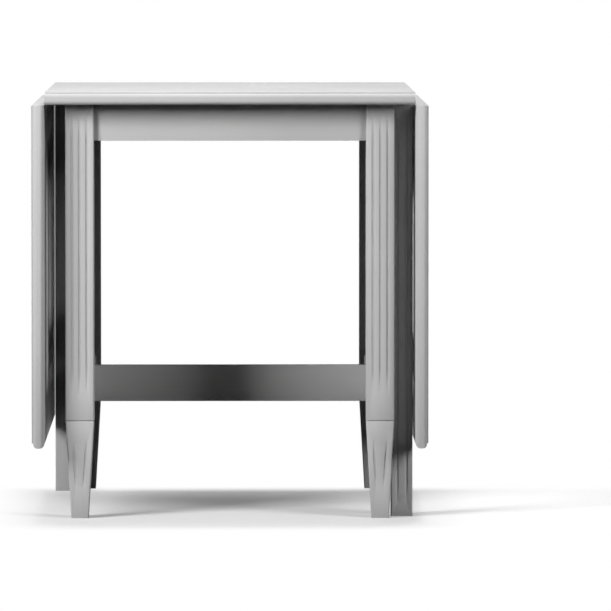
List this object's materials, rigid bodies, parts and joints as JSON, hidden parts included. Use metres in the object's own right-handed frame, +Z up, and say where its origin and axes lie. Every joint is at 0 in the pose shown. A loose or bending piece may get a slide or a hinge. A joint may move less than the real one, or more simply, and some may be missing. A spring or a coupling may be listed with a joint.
{
  "type": "drop-leaf gateleg table",
  "caption": "Folding table with a narrow fixed top, hinged drop leaves with moulded edges, fluted tapered legs and swinging gate legs.",
  "frame": {"origin": "on the floor under the centre of the top", "axes": "+X to the right as seen from the front, +Y from the front to the back, +Z up"},
  "size_m": [0.6946, 0.8, 0.75],
  "materials": {
    "painted_wood": "satin pale grey paint",
    "bare_wood": "unpainted beech",
    "hinge_steel": "zinc-plated sheet steel"
  },
  "bodies": {
    "frame": {"apron_front": "painted_wood", "apron_left": "painted_wood", "apron_rear": "painted_wood", "apron_right": "painted_wood", "corner_block_front_left": "bare_wood", "corner_block_front_right": "bare_wood", "corner_block_rear_left": "bare_wood", "corner_block_rear_right": "bare_wood", "hinge_fixed_front_left": "hinge_steel", "hinge_fixed_front_right": "hinge_steel", "hinge_fixed_rear_left": "hinge_steel", "hinge_fixed_rear_right": "hinge_steel", "hinge_pin_front_left": "hinge_steel", "hinge_pin_front_right": "hinge_steel", "hinge_pin_rear_left": "hinge_steel", "hinge_pin_rear_right": "hinge_steel", "leg_front_left": "painted_wood", "leg_front_right": "painted_wood", "leg_rear_left": "painted_wood", "leg_rear_right": "painted_wood", "stretcher_centre": "painted_wood", "stretcher_left": "painted_wood", "stretcher_right": "painted_wood", "top_panel": "painted_wood"},
    "leaf_left": {"hinge_leaf_front_left": "hinge_steel", "hinge_leaf_rear_left": "hinge_steel", "leaf_left": "painted_wood"},
    "leaf_right": {"hinge_leaf_front_right": "hinge_steel", "hinge_leaf_rear_right": "hinge_steel", "leaf_right": "painted_wood"},
    "gate_left": {"gate_leg_left": "painted_wood", "gate_pivot_bottom_left": "bare_wood", "gate_pivot_top_left": "bare_wood", "gate_rail_bottom_left": "painted_wood", "gate_rail_top_left": "painted_wood", "gate_stile_left": "painted_wood"},
    "gate_right": {"gate_leg_right": "painted_wood", "gate_pivot_bottom_right": "bare_wood", "gate_pivot_top_right": "bare_wood", "gate_rail_bottom_right": "painted_wood", "gate_rail_top_right": "painted_wood", "gate_stile_right": "painted_wood"}
  },
  "joints": [
    {"name": "leaf_right_lift", "type": "hinge", "parent": "frame", "child": "leaf_right", "pos_m": [0.3253, 0, 0.728], "axis": [0, -1, 0], "range_deg": [0, 90]},
    {"name": "leaf_left_lift", "type": "hinge", "parent": "frame", "child": "leaf_left", "pos_m": [-0.3253, 0, 0.728], "axis": [0, 1, 0], "range_deg": [0, 90]},
    {"name": "gate_right_swing", "type": "hinge", "parent": "frame", "child": "gate_right", "pos_m": [0.258, 0.12, 0.45], "axis": [0, 0, 1], "range_deg": [0, 0.4]},
    {"name": "gate_left_swing", "type": "hinge", "parent": "frame", "child": "gate_left", "pos_m": [-0.258, -0.12, 0.45], "axis": [0, 0, 1], "range_deg": [0, 0.4]}
  ]
}
